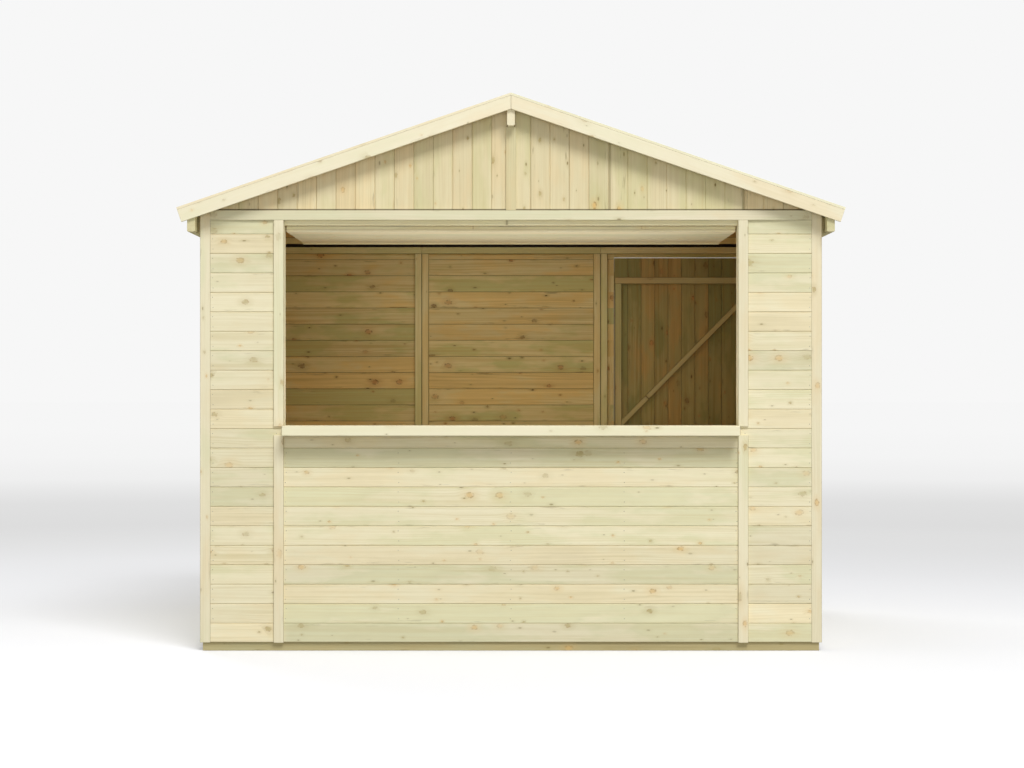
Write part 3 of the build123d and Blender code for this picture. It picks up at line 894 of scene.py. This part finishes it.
# Sticks: the CAD timbers with eased edges
material_of = {
    "floor_joists": BEARERS,
    "side_wall_rails": INNER_FRAMING,
    "side_wall_studs": INNER_FRAMING,
    "front_rails": INNER_FRAMING,
    "front_studs": INNER_FRAMING,
    "front_header": LIPPING,
    "counter_bearers": INNER_FRAMING,
    "back_rails": INNER_FRAMING,
    "back_studs": INNER_FRAMING,
    "gable_posts": INNER_FRAMING,
    "gable_rails": INNER_FRAMING,
    "gable_rafters": INNER_FRAMING,
    "ridge_beam": TRIMMING,
    "purlins": INNER_FRAMING,
    "wall_plates": INNER_FRAMING,
    "eaves_battens": EAVES,
    "eaves_beams": EAVES,
    "hatch_battens": LIPPING,
    "door_ledges": DOOR_FRAMING,
    "door_stiles": DOOR_FRAMING,
    "door_braces": DOOR_FRAMING,
    "front_linings": TRIMMING,
    "corner_strips": TRIMMING,
    "jamb_trims": TRIMMING,
    "top_trims": TRIMMING,
    "joint_trims": EAVES,
    "barge_boards": BRIGHT_TRIM,
    "counter_boards": BRIGHT_TRIM,
    "counter_nosing": BRIGHT_TRIM,
}


def eased(node, material):
    """The timbers of a CAD node with their edges taken off."""
    mesh = frame["nodes"][node].data.copy()
    piece = bpy.data.objects.new(f"{node}_timber", mesh)
    bpy.context.scene.collection.objects.link(piece)
    with editing(piece):
        bpy.ops.mesh.remove_doubles(threshold=1e-5)
        bpy.ops.mesh.dissolve_limited(angle_limit=math.radians(1))
    apply_modifier(
        piece,
        "BEVEL",
        width=EASING,
        segments=2,
        limit_method="ANGLE",
        angle_limit=math.radians(40),
    )
    settle(piece, material, node)
    return piece


def timbers():
    """Framing, trims and the counter, with the foot of the hatch's lip raised a little."""
    made = {node: eased(node, material) for node, material in material_of.items()}
    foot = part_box("hatch_battens")[0].z
    for vertex in made["hatch_battens"].data.vertices:
        if vertex.co.z < foot + LIP_FOOT:
            vertex.co.z += LIP_RISE


def ironmongery():
    """The hinges and the handle keep their CAD shapes, in black steel."""
    for node in ("hatch_hinge_straps", "door_hinge_straps", "door_handle", "hinge_plates"):
        mesh = frame["nodes"][node].data
        mesh.materials.clear()
        mesh.materials.append(STEEL)


def fixing(name, place, along, radius, height, sides=8, dome=0.35):
    """One round head that stands on a face. The dome is the softened share of its radius."""
    deselect()
    bpy.ops.mesh.primitive_cylinder_add(vertices=sides, radius=radius, depth=height * 2, location=place)
    piece = bpy.context.object
    piece.name = name
    turn = axis(Z).rotation_difference(along)
    piece.rotation_mode = "QUATERNION"
    piece.rotation_quaternion = turn
    bpy.ops.object.transform_apply(location=True, rotation=True, scale=True)
    with editing(piece):
        pick_faces(lambda f: f.normal.dot(along) > 0.9)
        bpy.ops.mesh.inset(thickness=radius * dome, depth=height * 0.5)
    return piece


def finish_fixings(name, made, material, body):
    """Join heads into one piece that rides on a body."""
    piece = join(name, made)
    piece.data.materials.clear()
    piece.data.materials.append(material)
    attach(piece, body)


def nail_rows():
    """Nails through the cladding into each stud, one pair to a board."""
    made = []
    for studs, boards, along, out in (
        ("front_studs", "front_side_boards", X, Y),
        ("front_studs", "front_lower_boards", X, Y),
        ("side_wall_studs", "side_wall_boards", Y, X),
        ("back_studs", "back_boards", X, Y),
    ):
        sheets = solid_boxes(boards)
        done = set()
        for low, high in solid_boxes(studs):
            middle = (low[along] + high[along]) / 2
            side = -1 if (low[out] + high[out]) < 0 else 1
            for sheet_low, sheet_high in sheets:
                inside = sheet_low[along] < middle < sheet_high[along]
                same_side = (sheet_low[out] + sheet_high[out]) * side > 0
                key = (round(middle, 3), side, round(sheet_low[2], 3))
                if not (inside and same_side) or key in done:
                    continue
                done.add(key)
                bottom = max(low[2], sheet_low[2])
                top = min(high[2], sheet_high[2])
                first = math.ceil((bottom - FIRST_SEAM_Z) / BOARD_COVER)
                rows = math.floor((top - FIRST_SEAM_Z) / BOARD_COVER) - first
                if rows < 1:
                    continue
                face = sheet_high[out] if side > 0 else sheet_low[out]
                for share in NAIL_SHARES:
                    place = [0.0, 0.0, FIRST_SEAM_Z + (first + share) * BOARD_COVER]
                    place[along] = middle + chance.uniform(-NAIL_STRAY, NAIL_STRAY)
                    place[out] = face
                    nail = fixing("cladding_nails", place, axis(out) * side, NAIL_RADIUS, NAIL_HEIGHT)
                    if rows > 1:
                        apply_modifier(
                            nail, "ARRAY", count=rows, use_relative_offset=False,
                            use_constant_offset=True, constant_offset_displace=axis(Z) * BOARD_COVER,
                        )
                    made.append(nail)
    finish_fixings("cladding_nails", made, NAIL, "stall")


def bolt(name, place, along):
    """The domed head of one coach bolt."""
    return fixing(name, place, along, BOLT_RADIUS, BOLT_HEIGHT, sides=16, dome=0.4)


def bolts():
    """Coach bolts along the hinge straps."""
    made = []
    for low, high in solid_boxes("door_hinge_straps"):
        for reach in BOLT_REACHES:
            place = (low[0] + reach, low[1] + HINGE_METAL, (low[2] + high[2]) / 2)
            made.append(bolt("door_bolts", place, axis(Y)))
    finish_fixings("door_bolts", made, STEEL, "door")
    made = []
    for low, high in solid_boxes("hatch_hinge_straps"):
        for reach in BOLT_REACHES:
            place = ((low[0] + high[0]) / 2, low[1] + reach, low[2] + HINGE_METAL)
            made.append(bolt("hatch_bolts", place, axis(Z)))
    finish_fixings("hatch_bolts", made, STEEL, "hatch")


# Stage, light and camera
CAMERA_DISTANCE = 11.68
EYE_HEIGHT = 1.289


def camera():
    """An 85 mm lens held level, square to the front."""
    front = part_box("front_lower_boards")[0].y
    data = bpy.data.cameras.new("Camera")
    data.lens = 85
    data.sensor_width = 36
    data.clip_end = 200
    seen = bpy.data.objects.new("Camera", data)
    seen.location = (0.005, front - CAMERA_DISTANCE, EYE_HEIGHT)
    seen.rotation_euler = (math.radians(90), 0, 0)
    bpy.context.scene.collection.objects.link(seen)
    bpy.context.scene.camera = seen


def lamp(name, kind, place, aim, energy, **settings):
    """A lamp that looks at a point."""
    data = bpy.data.lights.new(name, kind)
    data.energy = energy
    for key, value in settings.items():
        setattr(data, key, value)
    made = bpy.data.objects.new(name, data)
    made.location = place
    turn = (Vector(aim) - Vector(place)).to_track_quat("-Z", "Y")
    made.rotation_euler = turn.to_euler()
    made.visible_camera = False
    bpy.context.scene.collection.objects.link(made)


def light():
    """A pale sky all round, a high soft key lamp at the front right and weaker fills."""
    world = bpy.data.worlds.new("Studio")
    world.use_nodes = True
    bpy.context.scene.world = world
    w = Wiring(world.node_tree)
    out = world.node_tree.nodes["World Output"]
    sky = world.node_tree.nodes["Background"]
    sky.inputs["Color"].default_value = (1.0, 0.96, 0.82, 1.0)
    sky.inputs["Strength"].default_value = 0.40
    seen = w.node("ShaderNodeBackground")
    seen.inputs["Color"].default_value = srgb(247, 247, 247)
    seen.inputs["Strength"].default_value = 1.0
    path = w.node("ShaderNodeLightPath")
    shown = w.math("MAXIMUM", path.outputs["Is Camera Ray"], path.outputs["Is Glossy Ray"])
    shown = w.math("MAXIMUM", shown, path.outputs["Is Transmission Ray"])
    mix = w.node("ShaderNodeMixShader")
    w.feed(shown, mix.inputs[0])
    w.feed(sky.outputs[0], mix.inputs[1])
    w.feed(seen.outputs[0], mix.inputs[2])
    w.feed(mix.outputs[0], out.inputs["Surface"])
    middle = (0, 0, 1.2)
    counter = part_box("counter_boards")
    room = (0, counter[1].y + 0.2, counter[1].z - 0.02)
    for name, place, aim, energy, width, depth in (
        ("High key", (4.1, -14.7, 16.2), middle, 2800, 9, 7),
        ("Low front fill", (0, -16, 2.2), middle, 430, 9, 3.5),
        ("Back key", (-5, 11, 9.0), middle, 700, 8, 5),
        ("Left fill", (-14, -1, 4.5), middle, 360, 6, 5),
        ("Right fill", (14, -1, 4.5), middle, 460, 6, 5),
    ):
        lamp(name, "AREA", place, aim, energy, shape="RECTANGLE", size=width, size_y=depth)
    lamp(
        "Hatch fill", "AREA", room, (0, room[1] - 0.25, 2.0), 7.0,
        shape="RECTANGLE", size=2.1, size_y=0.5, spread=math.radians(150),
    )
    lamp(
        "Room fill", "AREA", (-0.15, -0.15, 2.33), (-0.15, 1.15, 1.35), 1.9,
        shape="RECTANGLE", size=1.1, size_y=0.16, spread=math.radians(130),
    )


def stage():
    """A white floor that keeps the shadow of the stall and greys with distance."""
    deselect()
    bpy.ops.mesh.primitive_circle_add(vertices=96, radius=160, fill_type="NGON", location=(0, 0, 0))
    floor = bpy.context.object
    floor.name = "studio_floor"
    material, w, lit = blank("Studio floor")
    out = material.node_tree.nodes["Material Output"]
    lit.inputs["Base Color"].default_value = (0.34, 0.34, 0.34, 1.0)
    lit.inputs["Roughness"].default_value = 1.0
    lit.inputs["Specular IOR Level"].default_value = 0.0
    place = w.node("ShaderNodeTexCoord").outputs["Object"]
    moved = w.node("ShaderNodeVectorMath", operation="ADD")
    w.feed(place, moved.inputs[0])
    moved.inputs[1].default_value = (0, 6, 0)
    reach = w.node("ShaderNodeVectorMath", operation="LENGTH")
    w.feed(moved.outputs[0], reach.inputs[0])
    # Seen by the camera, the floor glows with greys from a ramp by distance, painted rather than lit.
    # Near the stall the glow gives way to a lit floor that keeps the stall's shadow.
    tone = w.node("ShaderNodeValToRGB")
    w.feed(w.remap(reach.outputs["Value"], 0.0, 60.0, smooth=False), tone.inputs[0])
    steps = (
        (0.085, 255), (0.13, 243), (0.165, 234), (0.205, 227), (0.26, 221),
        (0.33, 224), (0.44, 239), (0.61, 244), (1.0, 246),
    )
    ramp = tone.color_ramp
    for index, (place_on, grey) in enumerate(steps):
        stop = ramp.elements[index] if index < 2 else ramp.elements.new(place_on)
        stop.position = place_on
        stop.color = srgb(grey, grey, grey)
    away = w.node("ShaderNodeVectorMath", operation="LENGTH")
    w.feed(place, away.inputs[0])
    near = w.remap(away.outputs["Value"], 2.6, 9.0, 1.0, 0.0)
    glow = w.node("ShaderNodeEmission")
    w.feed(tone.outputs[0], glow.inputs["Color"])
    w.feed(w.math("MULTIPLY_ADD", near, -0.92, 1.0), glow.inputs["Strength"])
    grey_lit = w.node("ShaderNodeBsdfDiffuse")
    cooled = w.node("ShaderNodeVectorMath", operation="MULTIPLY")
    w.feed(tone.outputs[0], cooled.inputs[0])
    cooled.inputs[1].default_value = (1.0, 1.02, 1.1)
    dimmed = w.node("ShaderNodeVectorMath", operation="SCALE")
    w.feed(cooled.outputs[0], dimmed.inputs[0])
    w.feed(w.math("MULTIPLY", near, 0.86), dimmed.inputs["Scale"])
    w.feed(dimmed.outputs[0], grey_lit.inputs["Color"])
    both = w.node("ShaderNodeAddShader")
    w.feed(glow.outputs[0], both.inputs[0])
    w.feed(grey_lit.outputs[0], both.inputs[1])
    path = w.node("ShaderNodeLightPath")
    mix = w.node("ShaderNodeMixShader")
    w.feed(path.outputs["Is Camera Ray"], mix.inputs[0])
    w.feed(lit.outputs[0], mix.inputs[1])
    w.feed(both.outputs[0], mix.inputs[2])
    w.feed(mix.outputs[0], out.inputs["Surface"])
    floor.data.materials.append(material)


camera()
light()
stage()
cladding()
for side in (-1, 1):
    roof_slope(side)
timbers()
ironmongery()
nail_rows()
bolts()

bpy.context.scene.view_settings.view_transform = "Standard"
bpy.context.scene.cycles.diffuse_bounces = 10
